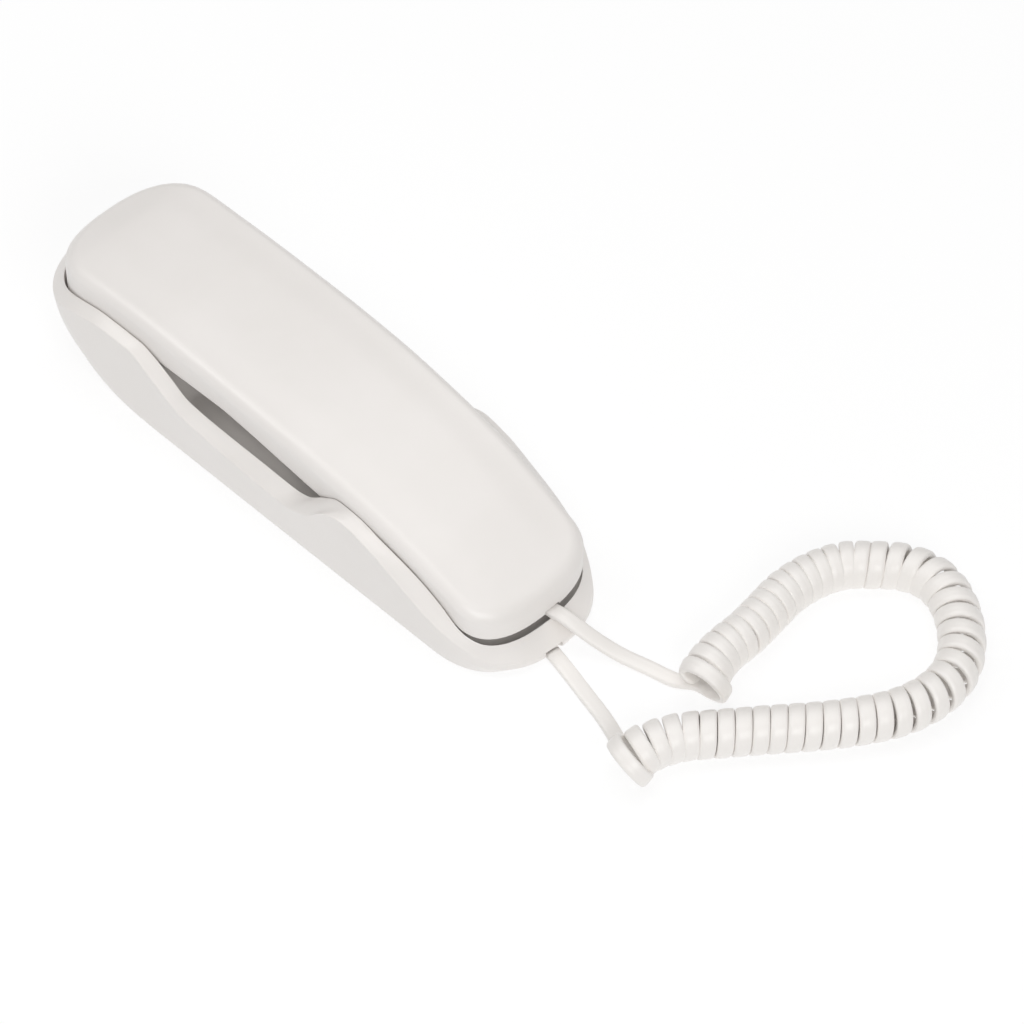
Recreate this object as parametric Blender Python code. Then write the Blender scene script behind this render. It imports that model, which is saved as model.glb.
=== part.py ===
"""Slimline wall phone: a boat-shaped wall base, a lift-off handset with its keypad inside, and a curly cord.

Frame: +X runs along the phone towards the mouthpiece and the cord, +Z out of the wall face,
and the origin is on the wall face under the middle of the base.
Every size below is in millimetres; MM turns it into metres when a mesh is made.
"""
import math

import bmesh
import bpy
import numpy as np
from mathutils import Matrix, Vector

MM = 0.001
GAP = 0.3                       # air left between pieces that touch

# ---------------------------------------------------------------- driving sizes
BASE_FRONT = 100.0              # cord end of the rim
BASE_BACK = -100.0              # earpiece end of the rim
BASE_HALF_WIDTH = 29.7          # of the rim, half way along
BASE_TAPER = 0.004              # the rim narrows by this much per millimetre towards the cord
BASE_TUCK = 0.5                 # and by this much more beside the mouthpiece
WALL_HALF_WIDTH = 26.0          # half width of the flat back
WALL_BACK, WALL_FRONT = -71.0, 97.0
BASE_WALL = 2.4
CRADLE_GAP = 0.6                # hairline between handset and cradle along the cheeks
FLOOR_THICKNESS = 2.2
COVER_THICKNESS = 2.0

HANDSET_BACK = -95.0
HANDSET_FRONT = 93.9
HANDSET_FILLET = 3.7
HANDSET_WALL = 2.2
INNER_PLATE = 2.0               # thickness of the handset's inner face
CROWN = 0.7                     # the outer face is this much fuller along its middle

PANEL_START, PANEL_END = -10.0, 50.0    # straight keypad stretch of the inner face
PANEL_HIGH, PANEL_LOW = 31.4, 22.2
KEY_LENGTH, KEY_WIDTH = 7.2, 10.4
KEY_PITCH_X, KEY_PITCH_Y = 10.8, 14.0
KEY_ROWS = 4
KEY_PROUD = 1.3

STUD_SPACING = 82.6             # wall plate studs, 3.25 inches apart
UPPER_STUD = -46.0
KEYHOLE_RADIUS, KEYHOLE_SLOT, KEYHOLE_RUN = 4.5, 4.4, 8.0

HOOK_X = -62.0
LINE_JACK_X = 12.0
SLIDER_X, SLIDER_Z = -62.0, 12.0

JACK = (12.0, 11.0, 8.4)        # handset cord jack, outside
PLUG = (13.0, 7.7, 6.0)         # its plug
PLUG_IN = 8.5                   # how far the plug sits in the jack
BASE_JACK_FACE = 62.0
CORD_EXIT_Y = -2.7              # middle of the notch that the base cord leaves by
CORD_NOTCH = 3.2                # its half width
LEAD_EXIT_Y = 2.3               # middle of the notch in the handset's lip for its lead
HANDSET_JACK_FACE = 72.0

RECEIVER_X = -73.0
MIC_X, MIC_Y = 74.0, 11.5
SCREW_HEAD, SCREW_SHANK = 2.6, 1.1
BASE_SCREWS = [(-38.0, 19.0), (-38.0, -19.0), (77.0, 15.5), (77.0, -15.5)]
HANDSET_SCREWS = [(-32.0, 0.0), (55.0, 0.0)]

COIL_DIAMETER = 14.2
LEAD_DIAMETER = 2.4

END_STEPS, MID_STEPS = 6, 32    # points round each end and along each side of a plan

WHITE = (0.83, 0.80, 0.775, 1.0)
CORD_WHITE = (0.85, 0.82, 0.80, 1.0)


# ---------------------------------------------------------------- curves
def smooth_line(points):
    """A cubic through (x, z) points that is level at every crest and dip and never overshoots."""
    xs, zs = np.array(points, float).T
    step = np.diff(xs)
    slope = np.diff(zs) / step
    tangent = np.zeros(len(xs))
    tangent[0], tangent[-1] = slope[0], slope[-1]
    for i in range(1, len(xs) - 1):
        if slope[i - 1] * slope[i] > 0:
            tangent[i] = 2.0 / (1.0 / slope[i - 1] + 1.0 / slope[i])

    def value(x):
        x = min(max(x, xs[0]), xs[-1])
        i = min(int(np.searchsorted(xs, x, side="right")) - 1, len(step) - 1)
        t = (x - xs[i]) / step[i]
        ends = (1 + 2 * t) * (1 - t) ** 2 * zs[i] + t * t * (3 - 2 * t) * zs[i + 1]
        lean = t * (1 - t) ** 2 * tangent[i] + t * t * (t - 1) * tangent[i + 1]
        return float(ends + lean * step[i])

    return value


def smooth_route(points, spacing):
    """Evenly spaced points on a Catmull-Rom curve through the given ones."""
    pts = [Vector(p) for p in points]
    pts = [2 * pts[0] - pts[1]] + pts + [2 * pts[-1] - pts[-2]]
    fine = []
    for a, b, c, d in zip(pts, pts[1:], pts[2:], pts[3:]):
        for k in range(24):
            t = k / 24
            fine.append(0.5 * (2 * b + (c - a) * t + (2 * a - 5 * b + 4 * c - d) * t * t
                               + (3 * b - a - 3 * c + d) * t ** 3))
    fine.append(pts[-2])
    run = np.concatenate([[0.0], np.cumsum([(q - p).length for p, q in zip(fine, fine[1:])])])
    count = max(2, round(run[-1] / spacing))
    at = np.linspace(0.0, run[-1], count + 1)
    return np.column_stack([np.interp(at, run, [p[k] for p in fine]) for k in range(3)])


rim = smooth_line([(-100, 28.6), (-90, 28.4), (-75, 32.8), (-62, 35.0), (-52, 35.0), (-42, 29.7),
                   (-29, 22.7), (-14, 20.8), (2, 19.5), (15, 19.1), (23, 21.8), (32, 29.6), (39, 31.8),
                   (48, 29.9), (59, 25.0), (71, 18.8), (83, 11.6), (93, 5.6), (100, 3.6)])
rim_inner = smooth_line([(-97, 32.0), (-88, 32.8), (-76, 35.8), (-65, 37.2), (-50, 36.8), (-45, 34.7),
                         (-38, 30.3), (-30, 25.5), (-20, 24.1), (0, 23.1), (15, 22.5), (20, 23.6),
                         (27, 28.9), (35, 34.0), (42, 33.6), (51, 31.0), (66, 25.7), (75, 20.6),
                         (84, 13.7), (90, 10.7), (96, 9.8)])
cradle_floor = smooth_line([(-96, 22.5), (-58, 22.5), (-50, 26.6), (-46, 26.6), (-37, 14.6), (26, 14.0),
                            (60, 12.0), (94, 6.6)])
handset_top = smooth_line([(-97, 41.3), (-80, 44.8), (-65, 45.8), (-48, 46.2), (-30, 45.9), (-10, 45.2),
                           (10, 43.9), (30, 41.4), (50, 37.4), (65, 32.7), (80, 26.5), (96, 20.3)])
# how much wider the handset is below its top edge than at its lip, and the cradle at its rim than the lip
flare = smooth_line([(-97, 0.1), (-80, 0.2), (-65, 0.4), (-50, 0.8), (-30, 1.4), (-10, 1.9), (10, 2.1),
                     (30, 1.9), (50, 1.6), (65, 1.0), (80, 0.4), (96, 0.1)])
cradle_flare = smooth_line([(-97, 0.5), (-65, 0.65), (-50, 0.8), (-38, 0.6), (15, 0.6), (27, 0.85),
                            (35, 1.65), (50, 1.6), (65, 1.1), (80, 0.55), (96, 0.5)])
panel_slope = (PANEL_LOW - PANEL_HIGH) / (PANEL_END - PANEL_START)
handset_under = smooth_line([(-97, 26.0), (-88, 24.0), (-58, 24.0), (-44, 32.0), (-18, 32.2),
                             (PANEL_START, PANEL_HIGH), (10, PANEL_HIGH + 20 * panel_slope),
                             (30, PANEL_HIGH + 40 * panel_slope), (PANEL_END, PANEL_LOW),
                             (70, 18.0), (95, 12.0)])
ear_end = smooth_line([(0, WALL_BACK), (0.5, -76), (1.5, -81), (3, -85), (6, -89.2), (10, -93), (15, -96.6),
                       (22, -99.2), (28.6, BASE_BACK)])


def base_half_width(x):
    return BASE_HALF_WIDTH - BASE_TAPER * x - BASE_TUCK * min(max((x - 50.0) / 25.0, 0.0), 1.0)


def handset_half_width(x):
    return 24.1 - 0.0151 * x + 0.000100 * x * x


def cradle_half_width(x):
    return handset_half_width(x) + CRADLE_GAP


def cradle_rim_width(x):
    return handset_half_width(x) + cradle_flare(x)


# ---------------------------------------------------------------- mesh building
def material(name, colour, roughness, metallic=0.0):
    mat = bpy.data.materials.new(name)
    mat.use_nodes = True
    surface = mat.node_tree.nodes["Principled BSDF"]
    surface.inputs["Base Color"].default_value = colour
    surface.inputs["Roughness"].default_value = roughness
    surface.inputs["Metallic"].default_value = metallic
    return mat


def make_object(name, bm, mat=None, at=(0, 0, 0), parent=None, smooth=True):
    """A mesh object from a bmesh in millimetres whose zero is at the point `at`."""
    bmesh.ops.recalc_face_normals(bm, faces=bm.faces)
    bmesh.ops.scale(bm, vec=(MM, MM, MM), verts=bm.verts)
    mesh = bpy.data.meshes.new(name)
    bm.to_mesh(mesh)
    bm.free()
    if smooth:
        mesh.shade_smooth()
        mesh.set_sharp_from_angle(angle=math.radians(32))
    obj = bpy.data.objects.new(name, mesh)
    bpy.context.scene.collection.objects.link(obj)
    obj.location = Vector(at) * MM
    if parent is not None:
        obj.parent = parent
    if mat is not None:
        mesh.materials.append(mat)
    return obj


def plan_ring(x_lo, x_hi, half_width, round_lo, round_hi, height, power=2.5):
    """Points round a boat-shaped plan with superellipse ends, along -Y first and back along +Y."""
    bend = 2.0 / power
    side = []
    for i in range(END_STEPS):
        a = 0.5 * math.pi * i / END_STEPS
        side.append((x_lo + round_lo * (1 - math.cos(a) ** bend), math.sin(a) ** bend))
    start, stop = x_lo + round_lo, x_hi - round_hi
    for i in range(MID_STEPS + 1):
        side.append((start + (stop - start) * i / MID_STEPS, 1.0))
    for i in range(END_STEPS - 1, -1, -1):
        a = 0.5 * math.pi * i / END_STEPS
        side.append((x_hi - round_hi * (1 - math.cos(a) ** bend), math.sin(a) ** bend))
    near = [(x, -half_width(x) * v, height(x)) for x, v in side]
    far = [(x, half_width(x) * v, height(x)) for x, v in reversed(side[1:-1])]
    return near + far


def ring_solid(rings):
    """One closed body through the rings; its first and last rings are closed straight across Y."""
    bm = bmesh.new()
    loops = [[bm.verts.new(p) for p in ring] for ring in rings]
    count = len(loops[0])
    half = count // 2
    for low, high in zip(loops, loops[1:]):
        for i in range(count):
            j = (i + 1) % count
            bm.faces.new((low[i], low[j], high[j], high[i]))
    for loop in (loops[0], loops[-1]):
        for i in range(half):
            across = [loop[i], loop[i + 1], loop[(count - i - 1) % count], loop[(count - i) % count]]
            bm.faces.new(list(dict.fromkeys(across)))
    return bm


def add_box(bm, lo, hi):
    size = [b - a for a, b in zip(lo, hi)]
    middle = [(a + b) / 2 for a, b in zip(lo, hi)]
    place = Matrix.Translation(middle) @ Matrix.Diagonal((*size, 1.0))
    bmesh.ops.create_cube(bm, size=1.0, matrix=place)


def add_rod(bm, x, y, z_lo, z_hi, radius, sides=16):
    place = Matrix.Translation((x, y, (z_lo + z_hi) / 2))
    bmesh.ops.create_cone(bm, cap_ends=True, segments=sides, radius1=radius, radius2=radius,
                          depth=z_hi - z_lo, matrix=place)


def add_prism(bm, outline, z_lo, z_hi):
    """A straight-sided body over an (x, y) outline."""
    low = [bm.verts.new((x, y, z_lo)) for x, y in outline]
    high = [bm.verts.new((x, y, z_hi)) for x, y in outline]
    bm.faces.new(low)
    bm.faces.new(high)
    for i in range(len(outline)):
        j = (i + 1) % len(outline)
        bm.faces.new((low[i], low[j], high[j], high[i]))


def box(lo, hi):
    bm = bmesh.new()
    add_box(bm, lo, hi)
    return bm


def turned(profile, sides=24):
    """A body of revolution about Z from (radius, z) points, listed bottom to top on the outside.

    A profile that starts and ends off the axis is a ring, and is closed on itself.
    """
    bm = bmesh.new()
    hollow = profile[0][0] > 0
    loops = []
    for radius, z in profile:
        if radius == 0:
            loops.append([bm.verts.new((0, 0, z))])
            continue
        turn = [2 * math.pi * k / sides for k in range(sides)]
        loops.append([bm.verts.new((radius * math.cos(a), radius * math.sin(a), z)) for a in turn])
    pairs = list(zip(loops, loops[1:]))
    if hollow:
        pairs.append((loops[-1], loops[0]))
    for low, high in pairs:
        for k in range(sides):
            j = (k + 1) % sides
            corners = [low[k % len(low)], low[j % len(low)], high[j % len(high)], high[k % len(high)]]
            bm.faces.new(list(dict.fromkeys(corners)))
    return bm


def cutter(name, bm):
    """A tool body for a Boolean, kept out of the model."""
    obj = make_object(name, bm, smooth=False)
    obj.hide_render = True
    obj.display_type = "WIRE"
    return obj


def boolean(obj, tool, operation):
    step = obj.modifiers.new(tool.name, "BOOLEAN")
    step.operation = operation
    step.object = tool


def clear_scene():
    for obj in list(bpy.data.objects):
        bpy.data.objects.remove(obj, do_unlink=True)


# ---------------------------------------------------------------- base
def base_section(share):
    """Ends, half width and end rounding of the base's outside, from the wall face (0) to the rim (1)."""
    low = ear_end(28.6 * share)
    high = WALL_FRONT + (BASE_FRONT - WALL_FRONT) * min(1.0, 1.6 * share)
    spread = share ** 0.7

    def half_width(x):
        return WALL_HALF_WIDTH + (base_half_width(x) - WALL_HALF_WIDTH) * spread

    return low, high, half_width, 25.0 + 9.0 * share


def base_outer_ring(share):
    low, high, half_width, rounding = base_section(share)
    return plan_ring(low, high, half_width, 25.0, rounding, lambda x: share * rim(x), power=2.5 - 0.14 * share)


def hollow_ring(share, height):
    """A ring of the space under the cradle, one wall thickness inside the shell."""
    low, _, half_width, _ = base_section(share)
    return plan_ring(low + BASE_WALL, WALL_FRONT - BASE_WALL, lambda x: half_width(x) - BASE_WALL, 23.0, 23.5,
                     height)


def make_base_shell(mat, shank_tool):
    ceiling = lambda x: cradle_floor(x) - FLOOR_THICKNESS
    rings = [plan_ring(-91.0, 92.5, lambda x: cradle_half_width(0) - 1.2, 23.0, 22.0, ceiling),
             hollow_ring(0.3, lambda x: 0.45 * ceiling(x)),
             hollow_ring(0.1, lambda x: 0.15 * ceiling(x)),
             hollow_ring(0.0, lambda x: 0.0)]
    rings += [base_outer_ring(share) for share in (0.0, 0.02, 0.06, 0.14, 0.3, 0.5, 0.75, 1.0)]
    rings.append(plan_ring(-95.8, 94.5, cradle_rim_width, 22.0, 17.5, rim_inner))
    rings.append(plan_ring(-95.7, 94.4, lambda x: cradle_rim_width(x) - 0.1, 21.9, 17.4,
                           lambda x: rim_inner(x) - 0.8))
    rings.append(plan_ring(-95.5, 94.3, cradle_half_width, 21.6, 17.2,
                           lambda x: cradle_floor(x) + min(1.2, 0.5 * (rim_inner(x) - cradle_floor(x)))))
    rings.append(plan_ring(-94.4, 93.2, lambda x: cradle_half_width(x) - 1.2, 21.0, 17.0, cradle_floor))
    shell = make_object("base_shell", ring_solid(rings), mat)

    bosses = bmesh.new()
    for x, y in BASE_SCREWS:
        add_rod(bosses, x, y, 2 * COVER_THICKNESS + GAP, cradle_floor(x) - 1.0, 3.0)
    boolean(shell, cutter("base_boss_tool", bosses), "UNION")

    boolean(shell, shank_tool, "DIFFERENCE")

    cuts = bmesh.new()
    add_box(cuts, (HOOK_X - 3.4, -4.4, 15.0), (HOOK_X + 3.4, 4.4, 28.0))
    add_box(cuts, (SLIDER_X - 4.4, 20.0, SLIDER_Z - 1.9), (SLIDER_X + 4.4, 34.0, SLIDER_Z + 1.9))
    add_box(cuts, (LINE_JACK_X - 5.6, 20.0, 2.9), (LINE_JACK_X + 5.6, 34.0, 10.9))
    add_box(cuts, (93.2, CORD_EXIT_Y - CORD_NOTCH, -2.0), (104.0, CORD_EXIT_Y + CORD_NOTCH, 4.0))
    boolean(shell, cutter("base_cut_tool", cuts), "DIFFERENCE")


def keyhole_outline(stud):
    """A round entry hole at the stud, running into a narrow round-ended slot towards the earpiece."""
    half = KEYHOLE_SLOT / 2
    opening = math.asin(half / KEYHOLE_RADIUS)
    outline = []
    for k in range(19):
        a = math.pi - opening - k * (2 * math.pi - 2 * opening) / 18
        outline.append((stud + KEYHOLE_RADIUS * math.cos(a), KEYHOLE_RADIUS * math.sin(a)))
    for k in range(7):
        a = 1.5 * math.pi - math.pi * k / 6
        outline.append((stud - KEYHOLE_RUN + half * math.cos(a), half * math.sin(a)))
    return outline


def jack_slot_outline(mouth, reach):
    """The outline of a bay for a jack whose mouth is at x = mouth, and of the channel its cord lies in."""
    back, side, channel = mouth - JACK[0] - 0.4, JACK[1] / 2 + 0.4, 4.5
    front = mouth + 0.4
    return [(back, -side), (front, -side), (front, -channel), (reach, -channel),
            (reach, channel), (front, channel), (front, side), (back, side)]


def make_back_cover(mat, shank_tool):
    inset = BASE_WALL + GAP
    plan = lambda z: plan_ring(WALL_BACK + inset, WALL_FRONT - inset, lambda x: WALL_HALF_WIDTH - inset,
                               23.0, 23.5, lambda x: z)
    cover = make_object("base_back_cover", ring_solid([plan(0.0), plan(COVER_THICKNESS)]), mat)

    posts = bmesh.new()
    for x, y in BASE_SCREWS:
        add_rod(posts, x, y, 0.8, 2 * COVER_THICKNESS, 4.4)
    for x in (-27.0, -1.0):
        for y in (-13.0, 13.0):
            add_rod(posts, x, y, 0.8, 5.0 - GAP, 1.8, sides=12)
    add_box(posts, (HOOK_X - 3.0, -5.0, 0.8), (HOOK_X + 5.0, 5.0, 4.0 - GAP))
    boolean(cover, cutter("cover_post_tool", posts), "UNION")

    boolean(cover, shank_tool, "DIFFERENCE")

    cuts = bmesh.new()
    for x, y in BASE_SCREWS:
        add_rod(cuts, x, y, -2.0, 2.0, SCREW_HEAD + 0.4)
    for k in range(5):
        add_box(cuts, (-24.8 + 4.4 * k, -9.0, -2.0), (-23.2 + 4.4 * k, 9.0, 4.0))
    add_prism(cuts, jack_slot_outline(BASE_JACK_FACE, 100.0), -2.0, 6.0)
    boolean(cover, cutter("cover_cut_tool", cuts), "DIFFERENCE")

    keyholes = bmesh.new()
    for stud in (UPPER_STUD, UPPER_STUD + STUD_SPACING):
        add_prism(keyholes, keyhole_outline(stud), -2.0, 6.0)
    boolean(cover, cutter("keyhole_tool", keyholes), "DIFFERENCE")


def screw_shank_tool(name, places, z_from, length):
    """The clearance holes of a set of screws."""
    bm = bmesh.new()
    for x, y in places:
        add_rod(bm, x, y, z_from(x), z_from(x) + length, SCREW_SHANK + GAP)
    return cutter(name, bm)


def make_base_electronics(board_mat, black_mat, brass_mat):
    make_object("base_pcb", box((-32.0, -17.0, 5.0), (4.0, 17.0, 6.6)), board_mat, smooth=False)
    ringer = turned([(0, 8.3), (11.5, 8.3), (11.5, 10.0), (10.3, 10.4), (10.3, 11.0), (0, 11.0)])
    make_object("ringer", ringer, brass_mat, at=(-19.0, 0.0, 0.0))
    make_object("hook_switch", box((HOOK_X - 3.0, -4.5, 4.0), (HOOK_X + 5.0, 4.5, 9.0)), black_mat,
                smooth=False)

    jack = box((LINE_JACK_X - 6.5, 8.0, 2.4), (LINE_JACK_X + 6.5, 22.6, 11.4))
    jack = make_object("line_jack", jack, black_mat, smooth=False)
    socket = box((LINE_JACK_X - 4.9, 12.0, 3.6), (LINE_JACK_X + 4.9, 26.0, 10.2))
    boolean(jack, cutter("line_socket_tool", socket), "DIFFERENCE")


def make_hook(cap_mat, steel_mat):
    """The cradle's hook plunger, held down by the handset, and its return spring."""
    bm = bmesh.new()
    add_box(bm, (-3.0, -4.0, 0.0), (3.0, 4.0, 8.2))
    plunger = make_object("hook_plunger", bm, cap_mat, at=(HOOK_X, 0.0, 15.5), smooth=False)
    foot = bmesh.new()
    add_box(foot, (-4.4, -5.4, 0.0), (4.4, 5.4, 1.5))
    add_rod(foot, 0.0, 0.0, -6.2, 0.6, 1.3, sides=12)
    tool = cutter("plunger_foot_tool", foot)
    tool.location = plunger.location
    boolean(plunger, tool, "UNION")
    plunger.modifiers["plunger_foot_tool"].use_self = True

    turns, rise, radius = 4, 4.9, 2.5
    points = []
    for k in range(turns * 10 + 1):
        a = 2 * math.pi * k / 10
        points.append((HOOK_X + radius * math.cos(a), radius * math.sin(a),
                       9.8 + rise * k / (turns * 10)))
    tube("hook_spring", points, 0.5, steel_mat)


def make_slider(mat):
    bm = bmesh.new()
    add_box(bm, (-2.0, -3.2, -1.4), (2.0, 3.0, 1.4))
    slider = make_object("ringer_switch", bm, mat, at=(SLIDER_X, 26.2, SLIDER_Z), smooth=False)
    foot = cutter("slider_foot_tool", box((-7.2, -3.9, -3.2), (7.2, -2.7, 3.2)))
    foot.location = slider.location
    boolean(slider, foot, "UNION")


def make_screw(name, x, y, z, length, mat, parent=None):
    """A pan-head screw standing on its head at height z, its cross recess in the head."""
    profile = [(0, 0), (1.6, 0), (SCREW_HEAD, 0.6), (SCREW_HEAD, 1.5), (SCREW_SHANK, 1.5),
               (SCREW_SHANK, length - 0.6), (0.5, length), (0, length)]
    screw = make_object(name, turned(profile, sides=16), mat, at=(x, y, z), parent=parent)
    bm = bmesh.new()
    add_box(bm, (-1.3, -0.3, -0.5), (1.3, 0.3, 0.8))
    cross = cutter(name + "_slot_tool", bm)
    cross.location = Vector((x, y, z)) * MM
    boolean(screw, cross, "DIFFERENCE")


# ---------------------------------------------------------------- jacks, plugs and cord
def make_jack(name, mat, frame):
    """A modular jack in `frame`: its mouth at x = 0 facing +X, its underside at z = 0."""
    length, width, height = JACK
    jack = make_object(name, box((-length, -width / 2, 0.0), (0.0, width / 2, height)), mat,
                       parent=frame, smooth=False)
    inside = PLUG[1] / 2 + GAP
    low, high = height / 2 - PLUG[2] / 2 - GAP, height / 2 + PLUG[2] / 2 + GAP
    socket = cutter(name + "_socket_tool", box((-PLUG_IN - 0.8, -inside, low), (2.0, inside, high)))
    socket.parent = frame
    boolean(jack, socket, "DIFFERENCE")


def make_plug(name, mat, frame):
    length, width, height = PLUG
    low = JACK[2] / 2 - height / 2
    nose = -PLUG_IN
    tail = length - PLUG_IN
    bm = bmesh.new()
    outline = [(nose, low + 0.8), (nose + 0.8, low), (tail, low), (tail, low + height),
               (nose + 0.8, low + height), (nose, low + height - 0.8)]
    sides = [[bm.verts.new((x, y, z)) for x, z in outline] for y in (-width / 2, width / 2)]
    bm.faces.new(sides[0])
    bm.faces.new(sides[1])
    for i in range(len(outline)):
        j = (i + 1) % len(outline)
        bm.faces.new((sides[0][i], sides[0][j], sides[1][j], sides[1][i]))
    make_object(name, bm, mat, parent=frame, smooth=False)


def tube(name, points, radius, mat, sides_step=2, parent=None):
    """A round tube along points in millimetres, with closed ends."""
    curve = bpy.data.curves.new(name, "CURVE")
    curve.dimensions = "3D"
    curve.bevel_depth = radius * MM
    curve.bevel_resolution = sides_step
    curve.use_fill_caps = True
    curve.resolution_u = 1
    spline = curve.splines.new("POLY")
    spline.points.add(len(points) - 1)
    for spot, p in zip(spline.points, points):
        spot.co = (p[0] * MM, p[1] * MM, p[2] * MM, 1.0)
    curve.materials.append(mat)
    obj = bpy.data.objects.new(name, curve)
    bpy.context.scene.collection.objects.link(obj)
    if parent is not None:
        obj.parent = parent
    return obj


LEAD_REST = LEAD_DIAMETER / 2 + 0.1
COIL_REST = COIL_DIAMETER / 2 + 0.1
HANDSET_LEAD = [(93.0, 2.4, 11.7), (97.5, 3.4, 11.2), (102.0, 4.6, 9.4), (108.0, 6.6, 6.4),
                (115.0, 9.4, 3.2), (123.0, 12.6, 1.8), (131.0, 15.4, LEAD_REST), (139.6, 18.2, LEAD_REST)]
COIL_ROUTE = [(138.6, 21.2), (136.9, 29.0), (136.8, 39.0), (135.7, 49.0), (134.8, 58.0), (136.0, 68.0),
              (139.6, 77.0), (145.2, 83.0), (151.5, 88.5), (158.5, 91.5), (165.5, 91.5), (173.0, 88.6),
              (180.6, 83.0), (186.6, 76.0), (190.0, 68.0), (190.3, 58.5), (187.6, 48.5), (182.2, 38.8),
              (175.0, 28.8), (165.8, 17.7), (156.5, 6.2), (149.8, -2.4), (146.4, -10.4), (145.4, -15.2)]
BASE_LEAD = [(144.2, -17.0, LEAD_REST), (139.0, -15.8, LEAD_REST), (133.0, -13.2, LEAD_REST),
             (126.5, -10.2, LEAD_REST),
             (117.0, -7.0, LEAD_REST), (107.0, -4.6, 1.5), (100.0, -3.2, 1.9), (92.0, -1.6, 2.4),
             (84.0, -0.5, 3.0), (74.0, 0.0, 4.0), (67.2, 0.0, 4.8)]


def make_cord(mat, plug_tail):
    inside = [tuple(plug_tail), tuple(plug_tail + Vector((3.0, 0.1, -1.3))), (86.0, 1.2, 13.2)]
    tube("lead_handset", smooth_route(inside + HANDSET_LEAD, 2.4 * LEAD_DIAMETER), LEAD_DIAMETER / 2, mat)
    coil = [(x, y, COIL_REST) for x, y in COIL_ROUTE]
    tube("cord_coil", smooth_route(coil, 0.55 * COIL_DIAMETER), COIL_DIAMETER / 2, mat, sides_step=4)
    tube("lead_base", smooth_route(BASE_LEAD, 2.4 * LEAD_DIAMETER), LEAD_DIAMETER / 2, mat)


# ---------------------------------------------------------------- handset
def handset_ring(inset, height, round_cut=0.0, flared=1.0):
    """An outline of the handset, `flared` of the way from its lip (0) to its widest line (1)."""
    return plan_ring(HANDSET_BACK + inset, HANDSET_FRONT - inset,
                     lambda x: handset_half_width(x) + flared * flare(x) - inset,
                     22.0 - round_cut, 14.0 - round_cut, height)


def make_handset_shell(mat, lift, shank_tool):
    wall = HANDSET_WALL
    rings = [handset_ring(7.5, lambda x: handset_top(x) - wall, 5.0),
             handset_ring(wall + 1.5, lambda x: handset_top(x) - wall - 2.0, 2.0),
             handset_ring(wall, lambda x: handset_top(x) - HANDSET_FILLET - 1.5, 1.5),
             handset_ring(wall, handset_under, 1.5, flared=0.0),
             handset_ring(0.5, handset_under, flared=0.0),
             handset_ring(0.0, lambda x: handset_under(x) + 0.6, flared=0.0)]
    for k in range(5):
        a = 0.5 * math.pi * k / 4
        inset = HANDSET_FILLET * (1 - math.cos(a))
        drop = HANDSET_FILLET * (1 - math.sin(a))
        rings.append(handset_ring(inset, lambda x, drop=drop: handset_top(x) - drop, 0.6 * inset))
    rings.append(handset_ring(14.0, lambda x: handset_top(x) + CROWN, 7.0))
    shell = make_object("handset_top_shell", ring_solid(rings), mat, parent=lift)

    bosses = bmesh.new()
    for x, y in HANDSET_SCREWS:
        foot = handset_under(x) + 2 * INNER_PLATE + 0.2 + GAP
        add_rod(bosses, x, y, foot, handset_top(x) - 1.0, 3.0)
    boolean(shell, cutter("handset_boss_tool", bosses), "UNION")
    boolean(shell, shank_tool, "DIFFERENCE")
    notch = box((86.0, LEAD_EXIT_Y - 2.9, 8.0), (96.0, LEAD_EXIT_Y + 2.9, 13.4))
    boolean(shell, cutter("lead_notch_tool", notch), "DIFFERENCE")


def make_handset_plate(mat, lift, shank_tool, keypad, jack_frame, keys):
    inset = HANDSET_WALL + GAP
    rings = [handset_ring(inset, handset_under, 1.8, flared=0.0),
             handset_ring(inset, lambda x: handset_under(x) + INNER_PLATE, 1.8, flared=0.0)]
    plate = make_object("handset_bottom_shell", ring_solid(rings), mat, parent=lift)

    pads = bmesh.new()
    for x, y in HANDSET_SCREWS:
        add_rod(pads, x, y, handset_under(x) + 0.8, handset_under(x) + 2 * INNER_PLATE + 0.2, 4.4)
    boolean(plate, cutter("plate_pad_tool", pads), "UNION")

    boolean(plate, shank_tool, "DIFFERENCE")

    cuts = bmesh.new()
    for x, y in HANDSET_SCREWS:
        add_rod(cuts, x, y, handset_under(x) - 3.0, handset_under(x) + 2.2, SCREW_HEAD + 0.4)
    add_rod(cuts, RECEIVER_X, 0.0, 20.0, 30.0, 1.1, sides=8)
    for k in range(6):
        a = math.pi * k / 3
        add_rod(cuts, RECEIVER_X + 6.0 * math.cos(a), 6.0 * math.sin(a), 20.0, 30.0, 1.1, sides=8)
    add_rod(cuts, MIC_X, MIC_Y, 12.0, 20.0, 1.0, sides=8)
    boolean(plate, cutter("plate_cut_tool", cuts), "DIFFERENCE")

    windows = bmesh.new()
    for x, y in keys:
        reach_x, reach_y = KEY_LENGTH / 2 + GAP, KEY_WIDTH / 2 + GAP
        add_box(windows, (x - reach_x, y - reach_y, -3.0), (x + reach_x, y + reach_y, 5.0))
    window_tool = cutter("key_window_tool", windows)
    window_tool.parent = keypad
    boolean(plate, window_tool, "DIFFERENCE")

    pocket = bmesh.new()
    add_prism(pocket, jack_slot_outline(0.0, 22.0), -3.0, 6.0)
    pocket_tool = cutter("jack_pocket_tool", pocket)
    pocket_tool.parent = jack_frame
    boolean(plate, pocket_tool, "DIFFERENCE")


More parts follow.
